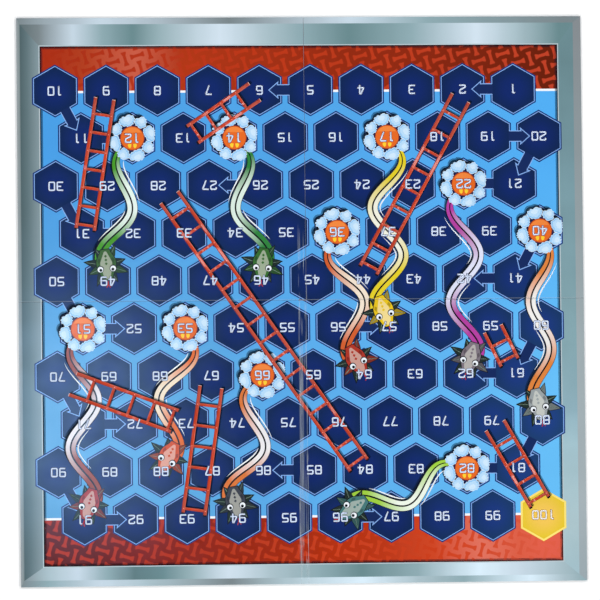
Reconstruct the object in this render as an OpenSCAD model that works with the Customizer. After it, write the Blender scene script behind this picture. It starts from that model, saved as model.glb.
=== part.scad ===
// Quad-fold board for snakes and ladders, lying open and face up.
// The origin is the middle of the underside. +X runs to the right, +Y up the board and +Z out of
// the printed face. The board is shown upside down, so its first row of cells is at the top.

/* [Board] */
// Length of one side of the open board
board_w = 400; // [340:10:480]
// Radius of the board's outer corners
corner_r = 1.4; // [0.8:0.1:2]

/* [Laminate] */
// Thickness of the greyboard cores
core_t = 1.5; // [1:0.1:2.5]
// Thickness of the printed sheet
sheet_t = 0.15; // [0.1:0.05:0.3]
// Thickness of the lining paper
liner_t = 0.15; // [0.1:0.05:0.3]
// Width of the printed sheet turned in under the outer edges
turn_in_w = 12; // [8:1:18]
// Distance from the outer edges to the lining paper
liner_inset = 4; // [2:0.5:7]
// Width of the seam where two turn-ins meet at a corner
mitre_w = 0.3; // [0.2:0.1:0.6]
// Thickness of one film of ink
ink_t = 0.03; // [0.02:0.01:0.04]

/* [Folds] */
// Width of the bare paper that bends at each crease
crease_w = 0.8; // [0.6:0.1:1.2]
// Height of each crease's axis over the printed face
hinge_lift = 0.25; // [0.2:0.05:0.4]
// Spare room round the two inner quarters when the board is closed
close_clear = 0.6; // [0.4:0.1:1]
// Width of the slit beside the loose flap
slit_w = 0.3; // [0.2:0.05:0.5]

/* [Printed frame] */
// Width of the plain frame at the left
frame_left = 16.3; // [12:0.1:20]
// Width of the plain frame at the right
frame_right = 16.8; // [12:0.1:20]
// Height of the plain frame at the top
frame_top = 20; // [14:0.1:24]
// Height of the plain frame at the bottom
frame_bottom = 14.2; // [10:0.1:20]
// Height of the red band along the top
band_top_h = 31.5; // [26:0.5:36]
// Height of the red band along the bottom
band_bottom_h = 32.5; // [26:0.5:36]
// Width of the white rule between a band and the blue field
rule_w = 1.6; // [1:0.1:2.4]

/* [Cells] */
// Gap between neighbouring cells of one row
cell_gap = 3.65; // [2.5:0.05:5]
// How far the outermost cells reach over the frame at the left
overhang_left = 5.5; // [0:0.1:8]
// How far the outermost cells reach over the frame at the right
overhang_right = 2.4; // [0:0.1:8]
// Width of an arrow's shaft
arrow_shaft_w = 8; // [4:0.1:10]
// Width across an arrow's barbs
arrow_head_w = 12.8; // [9:0.1:15]
// Length of an arrow's head
arrow_head_l = 7.4; // [5:0.1:9]
// Distance from an arrow's tip to the middle of the cell it enters
arrow_stop = 6.2; // [3:0.1:8]

/* [Ladders] */
// Width of a ladder's rails
rail_w = 2.4; // [1.6:0.1:3.2]
// Width of a ladder's rungs
rung_w = 2; // [1.4:0.1:3]
// Distance from a ladder's end to the middle of its last rung
ladder_end = 3.4; // [2:0.1:5]

/* [Snakes] */
// Width of a snake's body
snake_w = 7.6; // [5:0.1:9]
// Width of a snake's head
snake_head_w = 15; // [11:0.5:17]
// Length of a snake's head
snake_head_l = 22; // [16:0.5:26]
// Length over which the tail tapers to its tip
snake_tail_l = 34; // [20:1:50]
// Radius of the ring of scallops round a rosette
rosette_r = 12.4; // [10:0.2:14]
// Radius of each scallop
scallop_r = 5.4; // [4.6:0.1:6]
// Radius of the disc in a rosette's middle
disc_r = 9; // [6:0.2:10]

/* [Hidden] */
$fn = 48;

// Overrun of every cut past the face that it opens
over = 1;

// Heights of the laminate, from the table up
turn_in_z = liner_t;
core_z = turn_in_z + sheet_t;
face_z = core_z + core_t;
board_t = face_z + sheet_t;

// The closed board holds two quarters inside the spine
gutter_w = 2 * board_t + 2 * hinge_lift + close_clear;
half_w = board_w / 2;
inner_x = gutter_w / 2 + crease_w / 2;
inner_y = crease_w / 2;
spine_x = gutter_w / 2 - crease_w / 2;
flap_x = inner_x - slit_w;

// Printed areas
field_x0 = frame_left - half_w;
field_x1 = half_w - frame_right;
field_y0 = frame_bottom - half_w;
field_y1 = half_w - frame_top;
band_y0 = field_y0 + band_bottom_h;
band_y1 = field_y1 - band_top_h;

// The first and last rows stand on the edges of the bands, and every other row is half a cell over
row_count = 10;
cells_x0 = field_x0 - overhang_left;
cells_x1 = field_x1 + overhang_right;
cell_step = (cells_x1 - cells_x0 + cell_gap) / (row_count + 1 / 2);
cell_w = cell_step - cell_gap;
cell_r = cell_w / 2 / cos(30);
row_step = (band_y1 - band_y0) / (row_count - 1);
goal = row_count * row_count;

// Cells that an arrow leaves, towards the next number
arrow_starts = [1, 5, 10, 11, 19, 20, 21, 26, 30, 31, 40, 41, 50, 51, 56, 60, 61,
    70, 71, 80, 81, 85, 90, 91, 96];

// Ladders: lower cell, upper cell, how far each end lies off the middle of its cell, the distance
// between the rails and the number of rungs. Lengths are shares of cell_step.
ladder_shares = [
    [9, 31, [-0.03, -0.15], [0.06, 0.07], 0.36, 7],
    [6, 13, [-0.09, -0.03], [0.17, 0.06], 0.39, 4],
    [2, 44, [-0.04, -0.17], [0.10, 0.17], 0.37, 9],
    [28, 84, [0.21, -0.23], [-0.12, 0.07], 0.41, 15],
    [70, 73, [0.29, -0.14], [-0.21, 0.04], 0.44, 5],
    [67, 93, [-0.01, -0.22], [0.13, 0.08], 0.43, 6],
    [59, 61, [0.04, -0.06], [-0.13, 0.19], 0.37, 2],
    [79, 100, [0.06, -0.10], [-0.07, 0.24], 0.41, 4]
];

// Snakes: cell of the head, cell of the tail, number of bends, swing of the first bend to the
// right (1) or left (-1) of the way down, depth of the bends as a share of cell_step, and colour
snake_shares = [
    [49, 12, 3, 1, 0.24, "green"],
    [46, 14, 3, -1, 0.24, "darkgreen"],
    [57, 17, 4, 1, 0.30, "gold"],
    [62, 22, 4, -1, 0.28, "mediumvioletred"],
    [64, 36, 3, 1, 0.28, "tomato"],
    [80, 40, 4, 1, 0.20, "darkorange"],
    [94, 66, 3, 1, 0.30, "sandybrown"],
    [88, 53, 3, -1, 0.28, "orangered"],
    [96, 82, 3, 1, 0.26, "yellowgreen"],
    [91, 51, 4, -1, 0.26, "sienna"]
];
snake_steps = 60;
first_rung_share = 0.9;

// A snake's head from above: half its width at places from the nose to the neck, as shares
head_shares = [
    [0, 0.26], [0.03, 0.42], [0.1, 0.55], [0.2, 0.66], [0.32, 0.82], [0.46, 0.97],
    [0.58, 1], [0.7, 0.94], [0.82, 0.76], [0.92, 0.58], [1, 0.46]
];
scallops = 9;

// Levels of the films over the face, in the order of printing
ground_level = 0;
cell_level = 1;
figure_level = 2;
ladder_level = 3;

// The parts of the board that the print is cut into: left, right, bottom and top
top_left = [-half_w, -inner_x, inner_y, half_w];
top_right = [inner_x, half_w, inner_y, half_w];
bottom_left = [-half_w, -inner_x, -half_w, -inner_y];
bottom_right = [inner_x, half_w, -half_w, -inner_y];
spine = [-spine_x, spine_x, -half_w, -inner_y];
flap = [-inner_x, flap_x, inner_y, half_w];

// Middle of the cell with number n
function cell_row(n) = floor((n - 1) / row_count);
function cell_column(n) =
    let (place = (n - 1) % row_count)
    cell_row(n) % 2 == 0 ? row_count - 1 - place : place;
function cell_at(n) = [
    cells_x0 + cell_w / 2 + cell_step * (cell_column(n) + (cell_row(n) % 2) / 2),
    band_y1 - row_step * cell_row(n)
];

function across(v) = [-v[1], v[0]];
function unit(v) = v / norm(v);

// A snake's spine is a run of equal waves from head to tail
function snake_point(s, t) =
    let (head = cell_at(s[0]), tail = cell_at(s[1]), way = tail - head)
    head + way * t + across(unit(way)) * s[3] * s[4] * cell_step * sin(180 * s[2] * t);
function snake_heading(s, t) =
    unit(snake_point(s, t + 1 / snake_steps) - snake_point(s, t - 1 / snake_steps));

// Half its width at t: a wide head, an even body and a tapering tail
function snake_half(s, t) =
    let (
        run = norm(cell_at(s[1]) - cell_at(s[0])),
        from_nose = t * run,
        from_tip = (1 - t) * run,
        u = from_nose / snake_head_l,
        head = snake_head_w / 2 * lookup(u, head_shares),
        body = snake_w / 2 * min(1, sqrt(from_tip / snake_tail_l))
    )
    u < 1 / 2 ? head : u < 1 ? max(head, body) : body;
function snake_side(s, side) = [
    for (i = [0 : snake_steps])
        let (t = i / snake_steps)
        snake_point(s, t) + across(snake_heading(s, t)) * side * snake_half(s, t)
];
function backwards(points) = [for (i = [len(points) - 1 : -1 : 0]) points[i]];

// Whether a box round two points, grown by a margin, reaches into an area of the board
function touches(area, p, q, margin) =
    max(p[0], q[0]) + margin > area[0] && min(p[0], q[0]) - margin < area[1]
    && max(p[1], q[1]) + margin > area[2] && min(p[1], q[1]) - margin < area[3];

// Turns a part drawn for the top right quarter over to another quarter
module turned(left, bottom) {
    if (left && bottom) mirror([1, 0, 0]) mirror([0, 1, 0]) children();
    else if (left) mirror([1, 0, 0]) children();
    else if (bottom) mirror([0, 1, 0]) children();
    else children();
}

// Outline of a quarter, drawn in from the outer edges and run on past the inner ones
module quarter_outline(inset, run_on) {
    edge = half_w - inset;
    r = corner_r - inset;
    translate([inner_x - run_on, inner_y - run_on])
        square([edge - r - inner_x + run_on, edge - inner_y + run_on]);
    translate([inner_x - run_on, inner_y - run_on])
        square([edge - inner_x + run_on, edge - r - inner_y + run_on]);
    translate([edge - r, edge - r]) circle(r = r);
}

module core() {
    color("darkgray") translate([0, 0, core_z])
        linear_extrude(core_t) quarter_outline(sheet_t, 0);
}

// The sheet lies over the core, wraps the two outer edges and is turned in under them
module face() {
    open_w = half_w - turn_in_w;
    color("cadetblue") difference() {
        translate([0, 0, turn_in_z]) linear_extrude(board_t - turn_in_z) quarter_outline(0, 0);
        translate([0, 0, core_z]) linear_extrude(core_t) quarter_outline(sheet_t, over);
        translate([inner_x - over, inner_y - over, turn_in_z - over])
            cube([open_w - inner_x + over, open_w - inner_y + over, sheet_t + over + core_t]);
        translate([half_w, half_w, turn_in_z - over]) rotate(45) translate([-board_w, -mitre_w / 2, 0])
            cube([board_w + over, mitre_w, sheet_t + over]);
    }
}

// Lining paper: a rim over the turn-ins, a step down their edge and the middle on the core. Where
// it runs on into the gutter it also covers the core's edge.
module liner(runs_on) {
    gutter_side = runs_on ? inner_x - liner_t : inner_x;
    rim = half_w - liner_inset;
    step = half_w - turn_in_w;
    color("lightsteelblue") {
        difference() {
            translate([gutter_side, inner_y, 0])
                cube([rim - gutter_side, rim - inner_y, core_z]);
            translate([gutter_side - over, inner_y - over, liner_t])
                difference() {
                    cube([half_w + over, half_w + over, core_z]);
                    cube([step - gutter_side + over, step - inner_y + over, core_z]);
                }
            translate([gutter_side - over, inner_y - over, -over])
                cube([
                    step - liner_t - gutter_side + over,
                    step - liner_t - inner_y + over,
                    core_z - liner_t + over
                ]);
        }
        if (runs_on)
            translate([gutter_side, inner_y, core_z - liner_t])
                cube([liner_t, step - inner_y, face_z - core_z + liner_t]);
    }
}

// Printed sheet across the gutter between x0 and x1, turned in at the outer edge
module gutter_sheet(x0, x1) {
    translate([x0, inner_y, face_z]) cube([x1 - x0, half_w - inner_y, sheet_t]);
}
module gutter_turn_in(x0, x1) {
    translate([x0, half_w - turn_in_w, face_z - sheet_t]) cube([x1 - x0, turn_in_w, sheet_t]);
}
module gutter_liner(x0, x1) {
    step = half_w - turn_in_w;
    rim = half_w - liner_inset;
    translate([x0, inner_y, face_z - liner_t]) cube([x1 - x0, step - inner_y, liner_t]);
    translate([x0, step - liner_t, face_z - sheet_t - liner_t])
        cube([x1 - x0, liner_t, sheet_t + liner_t]);
    translate([x0, step - liner_t, face_z - sheet_t - liner_t])
        cube([x1 - x0, rim - step + liner_t, liner_t]);
}

module spine_print() {
    color("cadetblue") turned(false, true) union() {
        gutter_sheet(-spine_x, spine_x);
        gutter_turn_in(-spine_x, spine_x);
    }
}
module spine_liner() {
    color("lightsteelblue") turned(false, true) gutter_liner(-spine_x, spine_x);
}
module flap_print() {
    color("cadetblue") {
        gutter_sheet(-inner_x, flap_x);
        gutter_turn_in(liner_t - inner_x, flap_x);
    }
}
module flap_liner() {
    color("lightsteelblue") gutter_liner(liner_t - inner_x, flap_x);
}

// Creases: bare paper at the middle fold, and paper and lining together beside the spine
module fold_crease(x0, x1) {
    color("steelblue") translate([x0, -inner_y, face_z]) cube([x1 - x0, crease_w, sheet_t]);
}
module spine_crease() {
    color("steelblue") union() {
        gutter_sheet(spine_x, inner_x);
        gutter_turn_in(spine_x, inner_x - liner_t);
        gutter_liner(spine_x, inner_x - liner_t);
    }
}

// One film of ink: the flat artwork, cut to its part of the board and raised to its level
module film(area, level) {
    translate([0, 0, board_t + level * ink_t]) linear_extrude(ink_t) intersection() {
        translate([area[0], area[2]]) square([area[1] - area[0], area[3] - area[2]]);
        children();
    }
}

module field(area) {
    color("deepskyblue") film(area, ground_level)
        translate([field_x0, band_y0 + rule_w])
            square([field_x1 - field_x0, band_y1 - band_y0 - 2 * rule_w]);
}
module bands(area) {
    color("firebrick") film(area, ground_level) {
        translate([field_x0, band_y1]) square([field_x1 - field_x0, band_top_h]);
        translate([field_x0, field_y0]) square([field_x1 - field_x0, band_bottom_h]);
    }
}

// A pointy-topped hexagon
module cell(n) {
    translate(cell_at(n)) rotate(30) circle(r = cell_r, $fn = 6);
}

// An arrow runs out of one cell and ends in the next
module arrow(n) {
    from = cell_at(n);
    way = cell_at(n + 1) - from;
    tip = norm(way) - arrow_stop;
    neck = tip - arrow_head_l;
    translate(from) rotate(atan2(way[1], way[0])) polygon([
        [0, -arrow_shaft_w / 2], [neck, -arrow_shaft_w / 2], [neck, -arrow_head_w / 2],
        [tip, 0],
        [neck, arrow_head_w / 2], [neck, arrow_shaft_w / 2], [0, arrow_shaft_w / 2]
    ]);
}
module cells(area) {
    color("midnightblue") film(area, cell_level) {
        for (n = [1 : goal - 1]) if (touches(area, cell_at(n), cell_at(n), cell_r)) cell(n);
        for (n = arrow_starts) if (touches(area, cell_at(n), cell_at(n + 1), cell_r)) arrow(n);
    }
}
module goal_cell() {
    color("gold") film(bottom_right, cell_level) cell(goal);
}

// A scalloped rosette marks the cell at the end of each snake, with a disc for its number
module rosettes(area) {
    for (s = snake_shares) {
        middle = cell_at(s[1]);
        if (touches(area, middle, middle, 0)) {
            color("lightcyan") film(area, figure_level) difference() {
                union() {
                    translate(middle) circle(r = rosette_r);
                    for (i = [1 : scallops])
                        translate(middle) rotate(360 / scallops * i) translate([rosette_r, 0])
                            circle(r = scallop_r);
                }
                translate(middle) circle(r = disc_r);
            }
            color("orangered") film(area, figure_level) translate(middle) circle(r = disc_r);
        }
    }
}

module snake(s) {
    difference() {
        polygon(concat(snake_side(s, 1), backwards(snake_side(s, -1))));
        translate(cell_at(s[1])) circle(r = rosette_r);
        for (i = [1 : scallops])
            translate(cell_at(s[1])) rotate(360 / scallops * i) translate([rosette_r, 0])
                circle(r = scallop_r);
    }
}
module snakes(area) {
    for (s = snake_shares)
        if (touches(area, cell_at(s[0]), cell_at(s[1]), s[4] * cell_step))
            color(s[5]) film(area, figure_level) snake(s);
}

// Two rails between two cells, with even rungs counted from the upper end
module ladder(s) {
    foot = cell_at(s[0]) + s[2] * cell_step;
    way = cell_at(s[1]) + s[3] * cell_step - foot;
    length = norm(way);
    spread = s[4] * cell_step;
    pitch = (length - ladder_end) / (s[5] - 1 + first_rung_share);
    translate(foot) rotate(atan2(way[1], way[0])) {
        for (side = [-1, 1])
            translate([0, side * spread / 2 - rail_w / 2]) square([length, rail_w]);
        for (i = [1 : s[5]])
            translate([length - ladder_end - pitch * (i - 1) - rung_w / 2, -spread / 2])
                square([rung_w, spread]);
    }
}
module ladders(area) {
    color("orangered") film(area, ladder_level)
        for (s = ladder_shares)
            if (touches(area, cell_at(s[0]), cell_at(s[1]), s[4] * cell_step)) ladder(s);
}

turned(true, false) core();  // core_top_left
core();  // core_top_right
turned(true, true) core();  // core_bottom_left
turned(false, true) core();  // core_bottom_right
turned(true, false) face();  // face_top_left
face();  // face_top_right
turned(true, true) face();  // face_bottom_left
turned(false, true) face();  // face_bottom_right
turned(true, false) liner(true);  // liner_top_left
liner(false);  // liner_top_right
turned(true, true) liner(true);  // liner_bottom_left
turned(false, true) liner(true);  // liner_bottom_right
spine_print();
spine_liner();
flap_print();
flap_liner();
fold_crease(-half_w, -inner_x);  // left_fold_crease
fold_crease(inner_x, half_w);  // right_fold_crease
turned(true, true) spine_crease();  // spine_crease_left
turned(false, true) spine_crease();  // spine_crease_right
field(top_left);  // field_top_left
field(top_right);  // field_top_right
field(bottom_left);  // field_bottom_left
field(bottom_right);  // field_bottom_right
field(spine);  // field_spine
field(flap);  // field_flap
bands(top_left);  // bands_top_left
bands(top_right);  // bands_top_right
bands(bottom_left);  // bands_bottom_left
bands(bottom_right);  // bands_bottom_right
bands(spine);  // bands_spine
bands(flap);  // bands_flap
cells(top_left);  // cells_top_left
cells(top_right);  // cells_top_right
cells(bottom_left);  // cells_bottom_left
cells(bottom_right);  // cells_bottom_right
cells(spine);  // cells_spine
cells(flap);  // cells_flap
goal_cell();
rosettes(top_left);  // rosettes_top_left
rosettes(top_right);  // rosettes_top_right
rosettes(bottom_left);  // rosettes_bottom_left
rosettes(bottom_right);  // rosettes_bottom_right
snakes(top_left);  // snakes_top_left
snakes(top_right);  // snakes_top_right
snakes(bottom_left);  // snakes_bottom_left
snakes(bottom_right);  // snakes_bottom_right
ladders(top_left);  // ladders_top_left
ladders(top_right);  // ladders_top_right
ladders(bottom_left);  // ladders_bottom_left
ladders(bottom_right);  // ladders_bottom_right
ladders(spine);  // ladders_spine
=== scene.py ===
# A quad-fold board for snakes and ladders, open and face up, printed and varnished
import math
import random
import bpy
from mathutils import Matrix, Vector


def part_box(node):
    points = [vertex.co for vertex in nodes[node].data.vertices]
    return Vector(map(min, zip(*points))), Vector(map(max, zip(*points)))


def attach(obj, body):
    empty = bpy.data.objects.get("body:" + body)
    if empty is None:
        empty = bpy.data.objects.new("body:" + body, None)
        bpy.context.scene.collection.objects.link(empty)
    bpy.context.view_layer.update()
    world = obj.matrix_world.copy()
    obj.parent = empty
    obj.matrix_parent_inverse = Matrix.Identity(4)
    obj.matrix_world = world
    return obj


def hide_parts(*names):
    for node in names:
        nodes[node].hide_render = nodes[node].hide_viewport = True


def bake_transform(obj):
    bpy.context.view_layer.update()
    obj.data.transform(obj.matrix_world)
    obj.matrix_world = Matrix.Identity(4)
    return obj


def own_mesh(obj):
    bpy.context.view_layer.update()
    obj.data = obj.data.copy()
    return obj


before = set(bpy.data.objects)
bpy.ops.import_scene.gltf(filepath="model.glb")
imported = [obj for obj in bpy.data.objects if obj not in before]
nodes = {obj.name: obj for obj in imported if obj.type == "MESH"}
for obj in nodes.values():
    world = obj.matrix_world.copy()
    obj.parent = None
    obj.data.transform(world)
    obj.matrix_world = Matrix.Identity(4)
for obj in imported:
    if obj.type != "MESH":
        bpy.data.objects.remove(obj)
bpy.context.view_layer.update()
bpy.ops.object.select_all(action="DESELECT")
mm = 0.001

# Sizes that the frame gives
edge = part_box("face_top_right")[1].x
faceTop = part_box("face_top_left")[1].z
fieldLeft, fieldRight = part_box("field_bottom_left")[0].x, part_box("field_bottom_right")[1].x
fieldTop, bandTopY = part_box("bands_top_left")[1].y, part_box("bands_top_left")[0].y
fieldBottom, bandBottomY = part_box("bands_bottom_left")[0].y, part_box("bands_bottom_left")[1].y
fieldArea = (fieldLeft, fieldRight, fieldBottom, fieldTop)
cellsLeft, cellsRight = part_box("cells_bottom_left")[0].x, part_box("cells_top_right")[1].x
print("frame read, board", round(2 * edge / mm), "mm wide")

# Print is a stack of thin films: each kind of artwork lies on its own level over the sheet
films = {"step": 0.005 * mm, "thickness": 0.003 * mm, "hair": 0.0004 * mm}
levels = {
    "ground": 1, "bars": 2, "barLights": 3, "innerShadow": 4, "cells": 5, "arrows": 6,
    "wideShadow": 7, "shadow": 8, "snakes": 9, "marks": 10, "heads": 11, "plates": 12,
    "eyes": 13, "pupils": 14, "discs": 14, "discTops": 15, "emblems": 16, "ladderShadow": 17,
    "ladders": 18, "rivets": 19, "figureEdges": 20, "figures": 21, "wear": 22,
}


def height(level):
    return faceTop + levels[level] * films["step"]


# Selection and copies

def activate(*pieces):
    bpy.ops.object.select_all(action="DESELECT")
    for piece in pieces:
        piece.select_set(True)
    bpy.context.view_layer.objects.active = pieces[0]


def settle(piece):  # its place goes into its mesh
    activate(piece)
    bpy.ops.object.transform_apply(location=True, rotation=True, scale=True)
    return piece


def moved(piece, x, y, turn=0.0, size=1.0):
    piece.location.x, piece.location.y = x, y
    piece.rotation_euler.z = turn
    piece.scale = (size, size, 1)
    return piece


def copyAt(piece, x, y, turn=0.0, size=1.0):
    copy = piece.copy()
    copy.data = piece.data.copy()
    bpy.context.collection.objects.link(copy)
    return moved(copy, x, y, turn, size)


def joined(name, pieces):
    activate(*pieces)
    bpy.ops.object.join()
    piece = settle(bpy.context.active_object)
    piece.name = piece.data.name = name
    return piece


def discard(*pieces):
    for piece in pieces:
        bpy.data.objects.remove(piece)


def paint(piece, *inks):
    piece.data.materials.clear()
    for ink in inks:
        if ink:
            piece.data.materials.append(ink)
    return piece


# Drawing tools: a filled outline, and a stroke whose width is cut into stripes

def drawCurve(name, points, closed, radii=None):
    curve = bpy.data.curves.new(name, "CURVE")
    curve.dimensions = "2D"
    spline = curve.splines.new("POLY")
    spline.points.add(len(points) - 1)
    for spot, (x, y) in zip(spline.points, points):
        spot.co = (x, y, 0, 1)
    for spot, radius in zip(spline.points, radii or []):
        spot.radius = radius
    spline.use_cyclic_u = closed
    drawn = bpy.data.objects.new(name, curve)
    bpy.context.collection.objects.link(drawn)
    return drawn


def toMesh(drawn, level):
    drawn.location.z = height(level)
    activate(drawn)
    bpy.ops.object.convert(target="MESH")
    return settle(bpy.context.active_object)


def outline(name, points, level, ink):
    drawn = drawCurve(name, points, True)
    drawn.data.fill_mode = "FRONT"
    return paint(toMesh(drawn, level), ink)


def stroke(name, points, level, stops, inks, radii=None, closed=False):
    profile = drawCurve(name + "Profile", [(x, 0) for x in stops], False)
    drawn = drawCurve(name, points, closed, radii)
    drawn.data.fill_mode = "NONE"
    drawn.data.bevel_mode = "OBJECT"
    drawn.data.bevel_object = profile
    piece = paint(toMesh(drawn, level), *inks)
    discard(profile)
    for face in piece.data.polygons:
        face.material_index = face.index % (len(stops) - 1)
    return piece


def plainStroke(name, points, level, width, ink, **shape):
    return stroke(name, points, level, [-width / 2, width / 2], [ink], **shape)


def disc(name, radius, level, ink, x=0.0, y=0.0, sides=24):
    bpy.ops.mesh.primitive_circle_add(
        vertices=sides, radius=radius, fill_type="NGON", location=(x, y, height(level)))
    piece = settle(bpy.context.active_object)
    piece.name = name
    return paint(piece, ink)


def panel(name, x0, x1, y0, y1, level, ink):
    bpy.ops.mesh.primitive_plane_add(size=1, location=((x0 + x1) / 2, (y0 + y1) / 2, height(level)))
    piece = bpy.context.active_object
    piece.scale = (x1 - x0, y1 - y0, 1)
    piece.name = name
    return paint(settle(piece), ink)


def insetFaces(piece, steps):  # each step insets the inner face and gives it the next ink
    activate(piece)
    bpy.ops.object.mode_set(mode="EDIT")
    bpy.ops.mesh.select_all(action="SELECT")
    for slot, thickness in enumerate(steps, 1):
        bpy.ops.mesh.inset(thickness=thickness)
        piece.active_material_index = slot
        bpy.ops.object.material_slot_assign()
    bpy.ops.object.mode_set(mode="OBJECT")
    return piece


def lift(piece, steps):  # overlapping parts of one level lie a hair above each other
    for vertex in piece.data.vertices:
        vertex.co.z += steps * films["hair"]
    return piece


def bisected(piece, cuts, trim=False):  # trim takes away what lies before each plane
    activate(piece)
    bpy.ops.object.mode_set(mode="EDIT")
    for place, normal in cuts:
        bpy.ops.mesh.select_all(action="SELECT")
        bpy.ops.mesh.bisect(plane_co=place, plane_no=normal, clear_outer=trim, threshold=1e-8)
    bpy.ops.object.mode_set(mode="OBJECT")
    return piece


def cutTo(piece, x0, x1, y0, y1):
    return bisected(piece, (
        ((x0, 0, 0), (-1, 0, 0)), ((x1, 0, 0), (1, 0, 0)),
        ((0, y0, 0), (0, -1, 0)), ((0, y1, 0), (0, 1, 0))), True)


# Points of outlines

def polar(away, turn):
    return away * math.cos(turn), away * math.sin(turn)


def corners(x0, x1, y0, y1, inset=0.0):
    x0, x1, y0, y1 = x0 + inset, x1 - inset, y0 + inset, y1 - inset
    return [(x0, y0), (x1, y0), (x1, y1), (x0, y1)]


def sideOf(far, near, i):  # one mitred side between two rectangles
    j = (i + 1) % 4
    return [far[i], far[j], near[j], near[i]]


def cloudShape(circles, count):  # outline round circles that all reach the middle
    points = []
    for i in range(count):
        turn = 2 * math.pi * i / count
        toX, toY = polar(1, turn)
        reach = 0.0
        for x, y, radius in circles:
            near = x * toX + y * toY
            under = near ** 2 - x ** 2 - y ** 2 + radius ** 2
            if under > 0:
                reach = max(reach, near + math.sqrt(under))
        points.append(polar(reach, turn))
    return points


def headingOf(way):
    return math.atan2(way.y, way.x)


def mirrored(rim, length, halfWidth):  # a closed outline from one side of it, in shares
    side = [(x * length, y * halfWidth) for x, y in rim]
    return side + [(x, -y) for x, y in reversed(side) if y > 0]


# Inks

def rgb(red, green, blue):  # a colour as a screen shows it, turned linear
    return tuple(
        (c / 12.92 if c <= 0.04045 else ((c + 0.055) / 1.055) ** 2.4)
        for c in (red / 255, green / 255, blue / 255)) + (1.0,)


def tonesOf(stops):  # places along a ramp with their colours
    return [(place, rgb(*tone)) for place, tone in stops]


def mixed(colour, other, share):
    return tuple(a + (b - a) * share for a, b in zip(colour, other))


# Finishes: textures by scale, detail and stretch, of the mottling, the fainter mottling, the gloss
# and the paper's grain
varnish = {
    "mottle": (22, 3), "faint": (2600, 2), "gloss": (60, 4), "fibre": (1500, 2),
    "roughness": 0.13, "uneven": 0.025, "shine": 0.5, "bump": 0.10, "grain": 0.03 * mm,
}
paper = {
    **varnish, "mottle": (700, 6, (1, 0.35, 1)), "faint": (40, 3), "fibre": (900, 4),
    "uneven": 0.0, "bump": 0.3, "grain": 0.05 * mm,
}


def newInk(name):
    ink = bpy.data.materials.new(name)
    ink.use_nodes = True
    tree = ink.node_tree
    return ink, tree, tree.nodes["Principled BSDF"]


def plug(tree, node, inputs):  # a socket is linked, and a plain value is set
    for name, value in inputs.items():
        if hasattr(value, "links"):
            tree.links.new(value, node.inputs[name])
        else:
            node.inputs[name].default_value = value


def addNode(tree, kind, inputs, **settings):
    node = tree.nodes.new("ShaderNode" + kind)
    for key, value in settings.items():
        setattr(node, key, value)
    plug(tree, node, inputs)
    return node


def maths(tree, operation, first, second):
    return addNode(tree, "Math", {0: first, 1: second}, operation=operation).outputs[0]


def coordinates(tree, kind="Object"):
    return addNode(tree, "TexCoord", {}).outputs[kind]


def noise(tree, scale, detail, stretch=(1, 1, 1)):
    mapping = addNode(tree, "Mapping", {"Vector": coordinates(tree), "Scale": stretch})
    return addNode(tree, "TexNoise", {
        "Vector": mapping.outputs["Vector"], "Scale": scale, "Detail": detail}).outputs["Fac"]


def mapped(tree, value, start, end, low=0.0, high=1.0):
    return addNode(tree, "MapRange", {
        "Value": value, "From Min": start, "From Max": end, "To Min": low,
        "To Max": high}).outputs["Result"]


def spread(tree, texture, low, high):  # most of a noise lies between 0.3 and 0.7
    return mapped(tree, texture, 0.3, 0.7, low, high)


def tinted(tree, colour, factor, other, blend="MIX"):
    node = addNode(
        tree, "Mix", {0: factor, 6: colour, 7: other}, data_type="RGBA", blend_type=blend)
    return node.outputs[2]


def mottled(tree, colour, *layers):  # each layer is a texture and the share it changes
    for texture, share in layers:
        colour = tinted(tree, colour, 1.0, spread(tree, texture, 1 - share, 1 + share), "MULTIPLY")
    return colour


def grained(tree, texture, strength, depth):
    return addNode(tree, "Bump", {
        "Height": texture, "Strength": strength, "Distance": depth}).outputs["Normal"]


def ramp(tree, value, stops):
    node = addNode(tree, "ValToRGB", {"Fac": value})
    band = node.color_ramp
    while len(band.elements) < len(stops):
        band.elements.new(1.0)
    for element, (place, colour) in zip(band.elements, stops):
        element.position = place
        element.color = colour
    return node.outputs["Color"]


def along(tree, axis, start, end):  # 0 at start and 1 at end along an axis of the board
    parts = addNode(tree, "SeparateXYZ", {"Vector": coordinates(tree)})
    return mapped(tree, parts.outputs[axis], start, end)


def varnishedInk(name, colourIn, mottle=0.05, finish=varnish):  # colourIn makes the ink's colour
    ink, tree, shader = newInk(name)
    f = finish
    strong, faint = noise(tree, *f["mottle"]), noise(tree, *f["faint"])
    rough, uneven = f["roughness"], f["uneven"]
    plug(tree, shader, {
        "Base Color": mottled(tree, colourIn(tree), (strong, mottle), (faint, mottle / 2)),
        "Roughness": spread(tree, noise(tree, *f["gloss"]), rough - uneven, rough + uneven),
        "Specular IOR Level": f["shine"],
        "Normal": grained(tree, noise(tree, *f["fibre"]), f["bump"], f["grain"]),
    })
    return ink


def flatInk(name, colour, mottle=0.05, finish=varnish):
    return varnishedInk(name, lambda tree: colour, mottle, finish)


def inkSet(name, tones):  # each tone is a colour and its mottling
    return {
        key: flatInk(name + key.capitalize(), rgb(*colour), mottle)
        for key, (colour, mottle) in tones.items()}


def rampInk(name, axis, start, end, stops, mottle=0.05):
    return varnishedInk(name, lambda tree: ramp(tree, along(tree, axis, start, end), stops), mottle)


shadows = {"roughness": 0.5, "shine": 0.1, "wideShare": 1.6, "nearShare": 0.8}


def shadowInk(name, colour, alpha):
    ink, tree, shader = newInk(name)
    plug(tree, shader, {
        "Base Color": colour, "Alpha": alpha, "Roughness": shadows["roughness"],
        "Specular IOR Level": shadows["shine"]})
    return ink


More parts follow.
